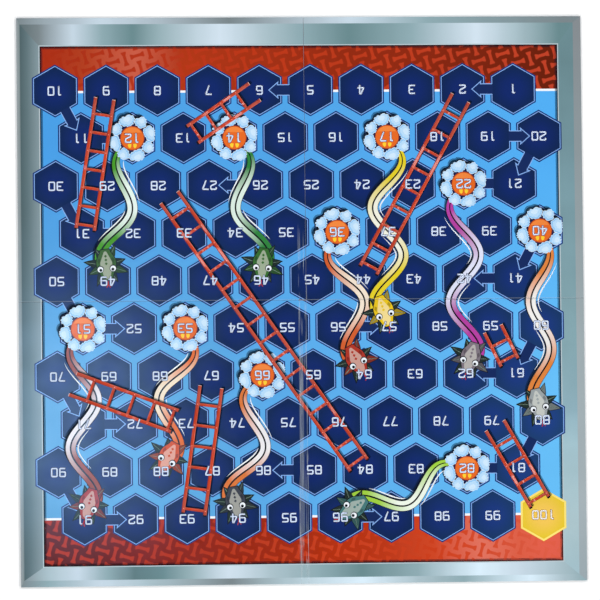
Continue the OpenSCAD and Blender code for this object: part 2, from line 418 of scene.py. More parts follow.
softShadow = shadowInk("softShadow", rgb(0, 22, 40), 0.22)
deepShadow = shadowInk("deepShadow", rgb(0, 14, 26), 0.34)
print("inks ready")

# The frame round the picture: brushed steel, drawn with mitred corners

steel = {
    "dark": rgb(104, 137, 141), "mid": rgb(142, 170, 177), "light": rgb(199, 216, 228),
    "bright": rgb(211, 227, 239), "shade": rgb(86, 104, 107), "grey": rgb(122, 134, 138),
    "brushed": rgb(148, 174, 180), "soft": rgb(170, 192, 200), "glare": rgb(218, 238, 250),
    "shadow": rgb(92, 120, 124), "streak": (150, 3, (1, 0.02, 1)), "streakShare": 0.015,
    "leftStrip": 2.5 * mm, "rightStrip": 5.5 * mm, "topStrip": 4.5 * mm,
    "bottomStrip": 4.5 * mm, "line": 0.7 * mm, "lineTone": rgb(186, 200, 205), "mottle": 0.02,
    "lineMottle": 0.03,
}
# Tones along the top and the lower side and their outer strips, by the share of the width
steelRuns = {
    "top": [
        (0.0, "shade"), (0.04, "grey"), (0.1, "light"), (0.15, "mid"), (0.205, "dark"),
        (0.25, "brushed"), (0.36, "bright"), (0.44, "soft"), (0.5, "mid"), (0.5875, "dark"),
        (0.70, "mid"), (0.815, "bright"), (0.88, "soft"), (0.96, "dark")],
    "strip": [
        (0.0, "grey"), (0.15, "light"), (0.375, "grey"), (0.5875, "light"), (0.725, "mid"),
        (0.97, "grey")],
    "low": [
        (0.0, "grey"), (0.05, "soft"), (0.1, "light"), (0.15, "mid"), (0.2, "shadow"),
        (0.25, "dark"), (0.3, "brushed"), (0.365, "bright"), (0.44, "soft"), (0.52, "mid"),
        (0.6, "dark"), (0.70, "mid"), (0.81, "glare"), (0.88, "light"), (0.95, "soft"), (1.0, "mid")],
    "lowStrip": [
        (0.0, "grey"), (0.05, "mid"), (0.14, "light"), (0.22, "soft"), (0.37, "grey"),
        (0.46, "soft"), (0.6, "glare"), (0.7, "soft"), (0.78, "mid"), (0.9, "glare"),
        (0.96, "soft"), (1.0, "mid")],
}
# Left and right sides and strips: axis, start and end of the ramp, mottling and tones
steelSides = {
    "left": ("X", -edge, fieldLeft, 0.03, [
        (0.15, (78, 98, 102)), (0.45, (95, 116, 121)), (0.9, (128, 147, 153))]),
    "right": ("Y", -edge, edge, 0.08, [
        (0.0, (164, 194, 204)), (0.1, (168, 192, 198)), (0.24, (166, 198, 208)), (0.3, (140, 172, 184)),
        (0.42, (130, 163, 171)), (0.72, (118, 151, 160)), (0.92, (106, 138, 144))]),
    "leftStrip": ("X", -edge, -edge + steel["leftStrip"], 0.05, [
        (0.0, (156, 164, 167)), (1.0, (120, 134, 136))]),
    "rightStrip": ("Y", -edge, edge, 0.03, [
        (0.0, (154, 168, 174)), (0.15, (164, 176, 181)), (0.4, (158, 171, 175)), (0.7, (142, 154, 158)),
        (1.0, (132, 138, 142))]),
}


def steelRun(name, stops):
    def colourIn(tree):
        place = along(tree, "X", -edge, edge)
        colour = ramp(tree, place, [(share, steel[tone]) for share, tone in stops])
        return mottled(tree, colour, (noise(tree, *steel["streak"]), steel["streakShare"]))

    return varnishedInk(name, colourIn, steel["mottle"])


def steelName(key):
    return "steel" + key[0].upper() + key[1:]


def steelFrame():
    s = steel
    inks = {key: steelRun(steelName(key), stops) for key, stops in steelRuns.items()}
    for key, (axis, start, end, mottle, stops) in steelSides.items():
        inks[key] = rampInk(steelName(key), axis, start, end, tonesOf(stops), mottle)
    inks["line"] = flatInk(steelName("line"), s["lineTone"], s["lineMottle"])
    outer = corners(-edge, edge, -edge, edge)
    middle = corners(
        -edge + s["leftStrip"], edge - s["rightStrip"], -edge + s["bottomStrip"], edge - s["topStrip"])
    inner, hole = corners(*fieldArea, -s["line"]), corners(*fieldArea)
    pieces = []
    for i, (stripInk, sideInk) in enumerate((
            ("lowStrip", "low"), ("rightStrip", "right"), ("strip", "top"), ("leftStrip", "left"))):
        for far, near, ink in ((outer, middle, stripInk), (middle, inner, sideInk), (inner, hole, "line")):
            pieces.append(outline(ink, sideOf(far, near, i), "ground", inks[ink]))
    return joined("framePrint", pieces)


framePrint = steelFrame()
print("steel frame drawn")

# The two red bands, with a basket weave of bone-shaped bars, leaning up in one and down in the other

weave = {
    "pitch": 8.9 * mm, "length": 10.4 * mm, "waist": 2.5 * mm, "knob": 4.3 * mm,
    "soft": 0.35 * mm, "lean": math.radians(16), "topBar": (62.3 * mm, 168.6 * mm),
    "bottomBar": (125.1 * mm, -177.5 * mm), "margin": 0.6, "waistEnd": 0.48,
    "knobShares": ((0.74, 0.84), (0.88, 1.0), (1.0, 0.78)),
    "barShares": {"Ground": 0.0, "Rim": 0.5, "Bar": 1.0},
}
# Tones of the ground and of the bars, by their place along the band in millimetres. The paler ground of
# the top band from -150 to -116 mm is a painted reflection of light on the varnish.
bandTones = {
    "top": (
        [(-175, (172, 46, 14)), (-150, (180, 62, 28)), (-116, (202, 92, 68)), (-84, (176, 52, 14)),
         (0, (154, 42, 10)), (90, (138, 36, 6)), (172, (104, 26, 0))],
        [(-175, (170, 44, 12)), (-116, (178, 50, 20)), (-40, (186, 52, 16)), (60, (188, 56, 22)),
         (172, (190, 62, 34))]),
    "bottom": (
        [(-150, (96, 14, 0)), (-115, (122, 20, 0)), (-35, (150, 34, 0)), (45, (182, 48, 8)),
         (92, (206, 68, 32)), (126, (222, 112, 92)), (152, (220, 92, 66)), (172, (222, 92, 72))],
        [(-150, (178, 46, 12)), (-75, (178, 46, 8)), (-10, (192, 58, 22)), (45, (202, 62, 24)),
         (92, (202, 60, 22)), (126, (208, 72, 40)), (172, (220, 90, 66))]),
}


def bone(inset):  # a bar that is thicker at its ends
    w = weave
    reach, waist, knob = w["length"] / 2 - inset, w["waist"] / 2 - inset, w["knob"] / 2 - inset
    side = [(w["waistEnd"], waist)] + [(x, y * knob) for x, y in w["knobShares"]]
    upper = [(-x * reach, y) for x, y in reversed(side)] + [(x * reach, y) for x, y in side]
    return upper + [(x, -y) for x, y in reversed(upper)]


def bandInk(name, tones, share):  # share is how much of the bars' tone is in it
    def colourIn(tree):
        place = along(tree, "X", fieldLeft, fieldRight)
        ground, bar = [
            ramp(tree, place, [
                ((x * mm - fieldLeft) / (fieldRight - fieldLeft), tone) for x, tone in tonesOf(stops)])
            for stops in tones]
        return tinted(tree, ground, share, bar)

    return varnishedInk(name, colourIn)


def weaveBand(name, y0, y1, first, lean, tones):
    w = weave
    groundInk, rimInk, barInk = [
        bandInk(name + part, tones, share) for part, share in w["barShares"].items()]
    rim = outline(name + "Rim", bone(0), "bars", rimInk)
    core = outline(name + "Core", bone(w["soft"]), "barLights", barInk)
    c, s = polar(w["pitch"], lean)
    margin = w["margin"] * w["length"]
    reach = int((fieldRight - fieldLeft) / w["pitch"])
    bars = []
    for i in range(-reach, reach + 1):
        for j in range(-reach, reach + 1):
            x = first[0] + i * c - j * s
            y = first[1] + i * s + j * c
            if y0 - margin < y < y1 + margin and fieldLeft - margin < x < fieldRight + margin:
                turn = lean if (i + j) % 2 else lean + math.pi / 2
                bars += [copyAt(rim, x, y, turn), copyAt(core, x, y, turn)]
    discard(rim, core)
    band = cutTo(joined(name + "Bars", bars), fieldLeft, fieldRight, y0, y1)
    base = panel(name, fieldLeft, fieldRight, y0, y1, "ground", groundInk)
    return joined(name, [base, band])


def redBands():
    w, tones = weave, bandTones
    return joined("bandPrint", [
        weaveBand("bandTop", bandTopY, fieldTop, w["topBar"], w["lean"], tones["top"]),
        weaveBand("bandBottom", fieldBottom, bandBottomY, w["bottomBar"], -w["lean"], tones["bottom"])])


bandPrint = redBands()
print("bands woven")

# The blue field between its white rules, and the dark edge inside the frame

# Blues from left to right in the upper and lower part, and the heights between which they mix
field = {
    "upper": [
        (0.0, (72, 158, 229)), (0.3, (78, 162, 229)), (0.6, (81, 166, 233)), (1.0, (80, 173, 242))],
    "lower": [
        (0.0, (93, 163, 214)), (0.3, (91, 166, 220)), (0.45, (89, 169, 231)), (0.7, (93, 176, 236)),
        (1.0, (102, 190, 246))],
    "upperEnd": 100 * mm, "lowerEnd": -60 * mm, "rule": 1.6 * mm, "mottle": 0.03,
    "white": rgb(244, 247, 252), "whiteMottle": 0.02, "nearShadow": 0.9 * mm,
    "farShadow": 2.0 * mm, "farDrop": 0.5,
}


def fieldColour(tree):
    place = along(tree, "X", fieldLeft, fieldRight)
    upper, lower = [ramp(tree, place, tonesOf(field[half])) for half in ("upper", "lower")]
    return tinted(tree, upper, along(tree, "Y", field["upperEnd"], field["lowerEnd"]), lower)


def printField():
    blue = varnishedInk("fieldBlue", fieldColour, field["mottle"])
    white = flatInk("ruleWhite", field["white"], field["whiteMottle"])
    y0, y1, rule = bandBottomY, bandTopY, field["rule"]
    return joined("fieldPrint", [
        panel(name, fieldLeft, fieldRight, low, high, "ground", ink) for name, low, high, ink in (
            ("field", y0 + rule, y1 - rule, blue), ("ruleTop", y1 - rule, y1, white),
            ("ruleBottom", y0, y0 + rule, white))])


def innerShadow():
    far = corners(*fieldArea)
    pieces = []
    for width, ink, drop in (
            (field["nearShadow"], deepShadow, 0), (field["farShadow"], softShadow, field["farDrop"])):
        near = corners(*fieldArea, width)
        for i in range(4):
            side = outline("side", sideOf(far, near, i), "innerShadow", ink)
            side.location.z = -drop * films["step"]
            pieces.append(side)
    return joined("innerShadow", pieces)


fieldPrint = printField()
shadePrint = innerShadow()
print("field printed")

# Cells: pointed hexagons with a dark outline and a pale line inside it. A fill runs from its middle
# tone to its edge tone between the two shares of glow, and is paler towards the lower right.

cells = {
    "gap": 3.65 * mm, "rows": 10, "outline": 0.85 * mm, "line": 0.52 * mm,
    "outlineInk": rgb(16, 46, 112), "lineInk": rgb(134, 176, 238), "goal": 100,
    "glow": (0.16, 0.44), "fill": (rgb(12, 38, 104), rgb(9, 36, 78)),
    "pale": (rgb(28, 62, 132), rgb(26, 62, 106)), "paleX": (70 * mm, 180 * mm),
    "paleY": (70 * mm, -70 * mm), "gold": (rgb(240, 196, 84), rgb(228, 196, 44)),
    "goldLine": rgb(250, 226, 120), "goldEdges": [0.1 * mm, 1.3 * mm], "mottle": 0.04,
}
cellStep = (cellsRight - cellsLeft + cells["gap"]) / (cells["rows"] + 0.5)
cellWidth = cellStep - cells["gap"]
rowStep = (bandTopY - bandBottomY) / (cells["rows"] - 1)


def cellAt(number):
    row, place = divmod(number - 1, cells["rows"])
    column = place if row % 2 else cells["rows"] - 1 - place
    return Vector((
        cellsLeft + cellWidth / 2 + cellStep * (column + (row % 2) / 2),
        bandTopY - rowStep * row))


def glowInk(name, *tones):  # by the cell's own UV
    def colourIn(tree):
        away = addNode(tree, "VectorMath", {
            0: coordinates(tree, "UV"), 1: (0.5, 0.5, 0)}, operation="DISTANCE").outputs["Value"]
        colour, *pale = [ramp(tree, away, list(zip(cells["glow"], pair))) for pair in tones]
        if not pale:
            return colour
        across, down = along(tree, "X", *cells["paleX"]), along(tree, "Y", *cells["paleY"])
        return tinted(tree, colour, maths(tree, "MULTIPLY", across, down), pale[0])

    return varnishedInk(name, colourIn, cells["mottle"])


def hexagon(name, inks, steps):
    bpy.ops.mesh.primitive_circle_add(
        vertices=6, radius=cellWidth / math.sqrt(3), fill_type="NGON", calc_uvs=True,
        location=(0, 0, height("cells")))
    piece = settle(bpy.context.active_object)
    piece.name = name
    return insetFaces(paint(piece, *inks), steps)


def printCells(lineInk):
    c = cells
    inks = (
        flatInk("cellOutline", c["outlineInk"]), lineInk, glowInk("cellFill", c["fill"], c["pale"]))
    cell = hexagon("cell", inks, [c["outline"], c["line"]])
    copies = [copyAt(cell, *cellAt(n)) for n in range(1, c["goal"])]
    discard(cell)
    return copies


def printGoal():
    gold = glowInk("goalFill", cells["gold"])
    inks = gold, flatInk("goalLine", cells["goldLine"]), gold
    goal = hexagon("goalPrint", inks, cells["goldEdges"])
    return settle(moved(goal, *cellAt(cells["goal"])))


# Arrows lead from one cell into the next where the numbers turn

arrows = {
    "starts": (1, 5, 10, 11, 19, 20, 21, 26, 30, 31, 40, 41, 50, 51, 56, 60, 61,
               70, 71, 80, 81, 85, 90, 91, 96),
    "shaft": 8.0 * mm, "head": 12.8 * mm, "headLength": 7.4 * mm, "stop": 6.2 * mm,
    "line": 0.6 * mm, "barb": 0.5 * mm, "openRoot": 0.36 * mm, "ink": rgb(17, 40, 92),
}


def printArrows(lineInk):
    a = arrows
    fill = flatInk("arrowFill", a["ink"])
    pieces = []
    for n in a["starts"]:
        start, end = cellAt(n), cellAt(n + 1)
        way = end - start
        root = cellWidth / 2 - cells["outline"] - cells["line"] - a["line"] / 2
        tip = way.length - a["stop"]
        neck = tip - a["headLength"]
        s, h = a["shaft"] / 2, a["head"] / 2
        points = [(root, -s), (neck + a["barb"], -s), (neck, -h), (tip, 0),
                  (neck, h), (neck + a["barb"], s), (root, s)]
        arrow = outline("arrow", points, "arrows", lineInk)
        arrow.data.materials.append(fill)
        insetFaces(arrow, [a["line"]])
        for face in arrow.data.polygons:  # the root runs into the cell without a line
            if face.center.x < root + a["openRoot"]:
                face.material_index = 1
        pieces.append(moved(arrow, *start, headingOf(way)))
    return pieces


cellLineInk = flatInk("cellLine", cells["lineInk"])
cellPrint = joined("cellPrint", printCells(cellLineInk) + printArrows(cellLineInk))
goalPrint = printGoal()
print("cells and arrows printed")

# Snakes: striped bodies in even waves from head to tail

snakes = {
    "width": 7.6 * mm, "tail": 34 * mm, "steps": 60, "edge": 0.35 * mm, "gap": 0.55 * mm,
    "glint": 0.9 * mm, "glintAway": 5.3 * mm, "glintSteps": 18, "neckShare": 0.3,
    "stripeShares": (0.22, 0.42, 0.58, 0.8), "leftPhase": -0.04, "rightPhase": 0.05,
    "glintShares": ((0.24, 0.5), (0.55, 0.84)), "glintEnd": 0.08, "glintTaper": 0.7,
    "tip": 0.02, "mottle": 0.06, "shadow": (-0.9 * mm, 1.2 * mm), "inks": {
        "dark": ((12, 14, 22), 0.05), "white": ((238, 244, 250), 0.02),
        "tongue": ((196, 40, 36), 0.05), "leaf": ((30, 44, 40), 0.12),
        "rim": ((12, 18, 20), 0.06), "vein": ((112, 138, 120), 0.06)},
}
# How far the head's colour goes towards another, and the mottling
headTones = {
    "head": ((0, 0, 0), 0.0, 0.08), "crown": ((255, 255, 240), 0.30, 0.05),
    "cheek": ((20, 12, 20), 0.45, 0.05), "accent": ((24, 36, 34), 0.55, 0.05),
}
# Head cell, tail cell, bends, side of the first bend, depth of the bends, stripe, pale, head
snakeList = [
    (49, 12, 3, 1, 0.24, (70, 150, 36), (226, 240, 232), (58, 96, 44)),
    (46, 14, 3, -1, 0.24, (44, 128, 58), (222, 240, 228), (52, 104, 44)),
    (57, 17, 4, 1, 0.30, (226, 204, 38), (242, 242, 226), (226, 190, 24)),
    (62, 22, 4, -1, 0.28, (176, 62, 156), (222, 226, 246), (122, 112, 122)),
    (64, 36, 3, 1, 0.28, (206, 92, 44), (242, 226, 206), (172, 52, 36)),
    (80, 40, 4, 1, 0.20, (222, 130, 60), (238, 236, 232), (150, 158, 160)),
    (94, 66, 3, 1, 0.30, (214, 116, 52), (240, 238, 240), (60, 64, 74)),
    (88, 53, 3, -1, 0.28, (222, 108, 44), (240, 222, 196), (206, 82, 38)),
    (96, 82, 3, 1, 0.26, (158, 204, 62), (236, 244, 230), (70, 120, 120)),
    (91, 51, 4, -1, 0.26, (150, 68, 44), (232, 228, 232), (168, 52, 44)),
]


def snakePoint(snake, t):
    head, tail = cellAt(snake[0]), cellAt(snake[1])
    way = (tail - head).normalized()
    swing = snake[3] * snake[4] * cellStep * math.sin(math.pi * snake[2] * t)
    return head + (tail - head) * t + Vector((-way.y, way.x)) * swing


def snakeHeading(snake, t):
    step = 0.5 / snakes["steps"]
    return (snakePoint(snake, t + step) - snakePoint(snake, t - step)).normalized()


def stripeInk(name, deep, pale, phase):  # pale in the middle of the snake
    def colourIn(tree):
        parts = addNode(tree, "SeparateXYZ", {"Vector": coordinates(tree, "UV")})
        return ramp(tree, parts.outputs["X"], [
            (share + phase, tone)
            for share, tone in zip(snakes["stripeShares"], (deep, pale, pale, deep))])

    return varnishedInk(name, colourIn, snakes["mottle"])


def lengthOf(snake):
    return (cellAt(snake[1]) - cellAt(snake[0])).length


def snakeBody(index, snake, hairlineShadowInk):
    s = snakes
    length, count, half = lengthOf(snake), s["steps"], s["width"] / 2
    first = s["neckShare"] * heads["length"] / length
    ts = [first + (1 - first) * i / count for i in range(count + 1)]
    radii = [min(1.0, math.sqrt(max(s["tip"], (1 - t) * length / s["tail"]))) for t in ts]
    deep, pale = rgb(*snake[5]), rgb(*snake[6])
    left = stripeInk("snakeLeft%d" % index, deep, pale, s["leftPhase"])
    right = stripeInk("snakeRight%d" % index, deep, pale, s["rightPhase"])
    stops = [-half, -half + s["edge"], -s["gap"], s["gap"], half - s["edge"], half]
    return stroke("snake%d" % index, [snakePoint(snake, t) for t in ts], "snakes", stops,
                  [hairlineShadowInk, left, hairlineShadowInk, right, hairlineShadowInk], radii)


def glintLine(snake, start, end, side, whiteInk):  # a thin white line outside a bend
    s = snakes
    points, radii = [], []
    for i in range(s["glintSteps"] + 1):
        share = i / s["glintSteps"]
        t = start + (end - start) * share
        way = snakeHeading(snake, t)
        points.append(snakePoint(snake, t) + Vector((-way.y, way.x)) * side * s["glintAway"])
        radii.append(s["glintEnd"] + math.sin(math.pi * share) ** s["glintTaper"])
    return plainStroke("glint", points, "snakes", s["glint"], whiteInk, radii=radii)


# Heads: a crowned head with round eyes and a forked tongue, on a bed of pointed leaves

heads = {
    "width": 15 * mm, "length": 22 * mm, "line": 0.5 * mm, "leaf": 16.5 * mm,
    "leafWidth": 6.4 * mm, "leafLine": 0.4 * mm, "vein": 0.44 * mm, "shortLeafShare": 0.88,
    "leafAngles": (-150, -112, -76, 76, 112, 150, 28, -28), "leafLift": 1.2, "veinLift": 0.6,
    "veinEnds": (0.1, 0.86), "bedShare": 0.5, "scales": (0.56, 0.68, 0.8), "scale": (0.05, 0.14),
    "tongue": 0.8 * mm, "tongueRoot": 0.01, "tongueEnd": -2.6 * mm, "tine": 0.64 * mm,
    "tineLine": ((-2.4 * mm, 0.1 * mm), (-4.6 * mm, 1.3 * mm)), "tineLift": 1.5, "aim": 0.6,
}
# Round parts on both sides: radius, shares along and across the head, squint, level, lift, ink, corners
headDiscs = {
    "socket": (2.5 * mm, 0.4, 0.6, 0, "plates", 1, "dark", 24),
    "eye": (2.0 * mm, 0.39, 0.6, 0, "eyes", 0, "white", 20),
    "pupil": (1.05 * mm, 0.365, 0.6, 0.25 * mm, "pupils", 0, "dark", 14),
    "nostril": (0.4 * mm, 0.08, 0.2, 0, "eyes", 0, "dark", 10),
}
# One side of each shape, in shares of its length and of half its width
headShares = {
    "rim": [(0.0, 0.0), (0.0, 0.26), (0.03, 0.42), (0.10, 0.55), (0.2, 0.66), (0.32, 0.82),
            (0.46, 0.97), (0.58, 1.0), (0.7, 0.94), (0.82, 0.76), (0.92, 0.58), (1.04, 0.46)],
    "crown": [(0.06, 0.0), (0.08, 0.2), (0.18, 0.34), (0.3, 0.42), (0.46, 0.56), (0.6, 0.56),
              (0.76, 0.36), (0.94, 0.12), (0.96, 0.0)],
    "leaf": [(0.0, 0.12), (0.16, 0.62), (0.36, 0.98), (0.56, 0.9), (0.78, 0.5), (1.0, 0.0)],
    "cheek": [(0.56, 0.66), (0.66, 0.82), (0.76, 0.68), (0.7, 0.5)],
}


def leafBed(inks):
    h = heads
    parts = []
    for k, angle in enumerate(h["leafAngles"]):
        long = h["leaf"] * (1.0 if k % 2 else h["shortLeafShare"])
        shape = mirrored(headShares["leaf"], long, h["leafWidth"] / 2)
        leaf = outline("leaf", shape, "marks", inks["rim"])
        leaf.data.materials.append(inks["accent"] if k % 3 == 1 else inks["leaf"])
        insetFaces(leaf, [h["leafLine"]])
        line = [(x * long, 0) for x in h["veinEnds"]]
        vein = plainStroke("vein", line, "marks", h["vein"], inks["vein"])
        for part, step in ((leaf, 0), (vein, h["veinLift"])):
            parts.append(moved(lift(part, h["leafLift"] * k + step), 0, 0, math.radians(angle)))
    return settle(moved(joined("leafBed", parts), h["bedShare"] * h["length"], 0))


def snakeHead(snake, inks):
    h, shares = heads, headShares
    w, l = h["width"] / 2, h["length"]
    head = outline("head", mirrored(shares["rim"], l, w), "heads", inks["dark"])
    head.data.materials.append(inks["head"])
    insetFaces(head, [h["line"]])
    crown = outline("crown", mirrored(shares["crown"], l, w), "plates", inks["crown"])
    parts = [leafBed(inks), head, crown]
    for side in (-1, 1):
        for name, (radius, x, y, squint, level, step, ink, count) in headDiscs.items():
            part = disc(name, radius, level, inks[ink], x * l, side * y * w - side * squint, count)
            parts.append(lift(part, step))
        cheek = [(x * l, side * y * w) for x, y in shares["cheek"]]
        parts.append(outline("cheek", cheek, "plates", inks["cheek"]))
    a, b = h["scale"]
    for x in h["scales"]:
        scale = [((x + i * a) * l, j * b * w) for i, j in ((-1, 0), (0, 1), (1, 0), (0, -1))]
        parts.append(outline("scale", scale, "eyes", inks["head"]))
    line = [(h["tongueRoot"] * l, 0), (h["tongueEnd"], 0)]
    parts.append(plainStroke("tongue", line, "heads", h["tongue"], inks["tongue"]))
    for side in (-1, 1):
        tine = plainStroke(
            "tine", [(x, side * y) for x, y in h["tineLine"]], "heads", h["tine"], inks["tongue"])
        parts.append(lift(tine, h["tineLift"] + side))
    way = snakeHeading(snake, h["aim"] * l / lengthOf(snake))
    return settle(moved(joined("snakeHead", parts), *snakePoint(snake, 0.0), headingOf(way)))


def shadowOf(piece, place, wideLevel="wideShadow", nearLevel="shadow"):
    pieces = []  # the same shape once more, dark, shifted and below
    for share, level, ink in (
            (shadows["wideShare"], wideLevel, softShadow), (shadows["nearShare"], nearLevel, deepShadow)):
        copy = settle(copyAt(piece, place[0] * share, place[1] * share))
        for vertex in copy.data.vertices:
            vertex.co.z = height(level)
        for face in copy.data.polygons:
            face.material_index = 0
        pieces.append(paint(copy, ink))
    return pieces


def printSnakes():
    s = snakes
    shared = inkSet("snake", s["inks"])
    pieces = []
    for index, snake in enumerate(snakeList, 1):
        own = {
            part: flatInk("%s%d" % (part, index), mixed(rgb(*snake[7]), rgb(*other), share), mottle)
            for part, (other, share, mottle) in headTones.items()}
        body = snakeBody(index, snake, shared["dark"])
        pieces += shadowOf(body, s["shadow"])
        pieces += [body, snakeHead(snake, {**shared, **own})]
        for (start, end), side in zip(s["glintShares"], (snake[3], -snake[3])):
            pieces.append(glintLine(snake, start, end, side, shared["white"]))
    return joined("snakePrint", pieces)


snakePrint = printSnakes()
print("snakes drawn")

# Rosettes: a ring of cloud puffs round an orange disc, at the end of each snake

rosettes = {
    "ring": 12.6 * mm, "puffs": 8, "deep": 3.3 * mm, "long": (5.0 * mm, 11), "round": (3.5 * mm, 8),
    "bump": 1.0 * mm, "sharp": 0.7, "sway": 0.3, "swayTurn": 1.7, "swell": 0.09, "swellTurn": 2.1,
    "rim": 0.32 * mm, "shift": 0.55 * mm, "shadePoints": 72, "shadeTurns": (-0.14, 0.14), "sides": 48,
    "disc": 8.6 * mm, "discRim": 0.5 * mm, "base": 13.2 * mm, "shadow": 4.3 * mm,
    "shadowX": -1.9 * mm, "shadowY": 2.1 * mm, "points": 60, "firstPuff": 0.35,
    "shades": (("wideShadow", 1.0, softShadow), ("shadow", 0.55, deepShadow)),
    "layers": (("blue", 0, 1.0), ("pale", 1, 0.84), ("lit", 2.2, 0.46)), "inks": {
        "dark": ((14, 32, 76), 0.05), "white": ((228, 241, 252), 0.02), "blue": ((146, 199, 242), 0.06),
        "pale": ((184, 219, 247), 0.04), "lit": ((206, 231, 250), 0.03), "rim": ((156, 58, 16), 0.05),
        "orange": ((228, 104, 34), 0.06), "light": ((240, 134, 60), 0.05),
        "yellow": ((250, 206, 52), 0.05)},
    "flame": ((0.6, 4.1), (2.4, 3.9), (3.3, 4.7), (2.8, 6.3), (1.7, 7.2), (0.8, 6.2)),
    "brim": ((-6.4, 3.9), (6.4, 3.9), (4.9, 6.0), (2.0, 7.5), (-2.0, 7.5), (-4.9, 6.0)),
}


def puffShape(k, inset):  # scalloped and a little crooked, long and round in turn
    r = rosettes
    wide, lobes = r["round" if k % 2 else "long"]
    points = []
    for i in range(r["points"]):
        a = 2 * math.pi * i / r["points"]
        reach = 1 / math.hypot(math.cos(a) / r["deep"], math.sin(a) / wide)
        reach *= 1 + r["swell"] * math.sin(3 * a + r["swellTurn"] * k)
        crooked = a + r["sway"] * math.sin(2 * a + r["swayTurn"] * k)
        reach += r["bump"] * abs(math.sin(lobes * crooked / 2)) ** r["sharp"] - inset
        points.append(polar(reach, a))
    return points


def printRosettes():
    r = rosettes
    inks = inkSet("rosette", r["inks"])
    spots = []
    parts = [disc("base", r["base"], "heads", inks["dark"], sides=r["sides"])]
    for k in range(r["puffs"]):
        turn = 2 * math.pi * (k + r["firstPuff"]) / r["puffs"]
        rim = outline("puffRim", puffShape(k, 0), "plates", inks["white"])
        parts.append(moved(lift(rim, 2 * (k % 2)), *polar(r["ring"], turn), turn))
        for step, (ink, shift, size) in enumerate(r["layers"]):
            layer = outline("puffLayer", puffShape(k, r["rim"]), "eyes", inks[ink])
            place = polar(r["ring"] + shift * r["shift"], turn)
            parts.append(moved(lift(layer, 2 * step), *place, turn, size))
        for side in ((0,) if k % 2 else r["shadeTurns"]):
            spots.append((*polar(r["ring"], turn + side), r["shadow"]))
    for level, share, ink in r["shades"]:
        shade = outline("puffShadow", cloudShape(spots, r["shadePoints"]), level, ink)
        parts.append(moved(shade, r["shadowX"] * share, r["shadowY"] * share))
    for name, inset, level, ink in (
            ("rim", 0, "discs", "rim"), ("disc", r["discRim"], "discTops", "orange")):
        parts.append(disc(name, r["disc"] - inset, level, inks[ink], sides=r["sides"]))
    for side in (-1, 1):  # two flames on the side of the picture's lower edge
        flame = [(side * x * mm, -y * mm) for x, y in r["flame"]]
        parts.append(outline("flame", flame, "emblems", inks["yellow"]))
    brim = [(x * mm, y * mm) for x, y in r["brim"]]
    parts.append(outline("brim", brim, "emblems", inks["light"]))
    rosette = joined("rosette", parts)
    pieces = [copyAt(rosette, *cellAt(snake[1])) for snake in snakeList]
    discard(rosette)
    return joined("rosettePrint", pieces)


rosettePrint = printRosettes()
print("rosettes drawn")

# Ladders: two rails and even rungs, with rivets at the joints and dark feet

ladders = {
    "rail": 2.4 * mm, "railEdge": 0.5 * mm, "rung": 2.0 * mm, "rungEdge": 0.4 * mm,
    "footGap": 3.4 * mm, "foot": 1.2 * mm, "cap": 0.35 * mm, "rivet": 0.42 * mm,
    "endShare": 0.1, "rivetSides": 8, "shadow": (0.9 * mm, 0.75 * mm), "inks": {
        "light": ((220, 92, 66), 0.05), "red": ((200, 66, 38), 0.08), "dark": ((166, 46, 26), 0.07),
        "rivet": ((238, 136, 116), 0.03), "foot": ((20, 14, 22), 0.03), "cap": ((226, 190, 180), 0.03)},
}
# Lower cell, upper cell, offset of each end, spread of the rails and number of rungs
ladderList = [
    (9, 31, (-0.03, -0.15), (0.06, 0.07), 0.36, 7),
    (6, 13, (-0.09, -0.03), (0.17, 0.06), 0.39, 4),
    (2, 44, (-0.04, -0.17), (0.10, 0.17), 0.37, 9),
    (28, 84, (0.21, -0.23), (-0.12, 0.07), 0.41, 15),
    (70, 73, (0.29, -0.14), (-0.21, 0.04), 0.44, 5),
    (67, 93, (-0.01, -0.22), (0.13, 0.08), 0.43, 6),
    (59, 61, (0.04, -0.06), (-0.13, 0.19), 0.37, 2),
    (79, 100, (0.06, -0.10), (-0.07, 0.24), 0.41, 4),
]


def ladderBar(name, points, inks):  # lit along one edge and dark along the other
    half, rim = ladders[name] / 2, ladders[name + "Edge"]
    return stroke(name, points, "ladders", [-half, -half + rim, half - rim, half],
                  [inks["light"], inks["red"], inks["dark"]])


def printLadders():
    l = ladders
    inks = inkSet("ladder", l["inks"])
    pieces = []
    half = l["rail"] / 2
    for low, high, lowOffset, highOffset, spreadShare, rungs in ladderList:
        start = cellAt(low) + Vector(lowOffset) * cellStep
        way = cellAt(high) + Vector(highOffset) * cellStep - start
        length, apart = way.length, spreadShare * cellStep
        pitch = (length - l["footGap"]) / (rungs - l["endShare"])
        bars, trim = [], []
        for side in (-1, 1):
            y = side * apart / 2
            bars.append(ladderBar("rail", [(0, y), (length, y)], inks))
            for name, x0, x1 in (
                    ("foot", length - l["foot"] / 2, length + l["foot"] / 2), ("cap", 0, l["cap"])):
                trim.append(panel(name, x0, x1, y - half, y + half, "rivets", inks[name]))
        for i in range(rungs):
            x, reach = length - l["footGap"] - pitch * i, apart / 2 - half
            bars.append(ladderBar("rung", [(x, -reach), (x, reach)], inks))
            for side in (-1, 1):
                trim.append(disc(
                    "rivet", l["rivet"], "rivets", inks["rivet"], x, side * apart / 2, l["rivetSides"]))
        ladder, trim = [
            settle(moved(joined(name, parts), *start, headingOf(way)))
            for name, parts in (("ladder", bars), ("trim", trim))]
        wide, near = shadowOf(ladder, l["shadow"], "ladderShadow", "ladderShadow")
        pieces += [wide, lift(near, 2), ladder, trim]
    return joined("ladderPrint", pieces)


ladderPrint = printLadders()
print("ladders drawn")

# Numbers: square technical figures, half a turn round because the board lies upside down

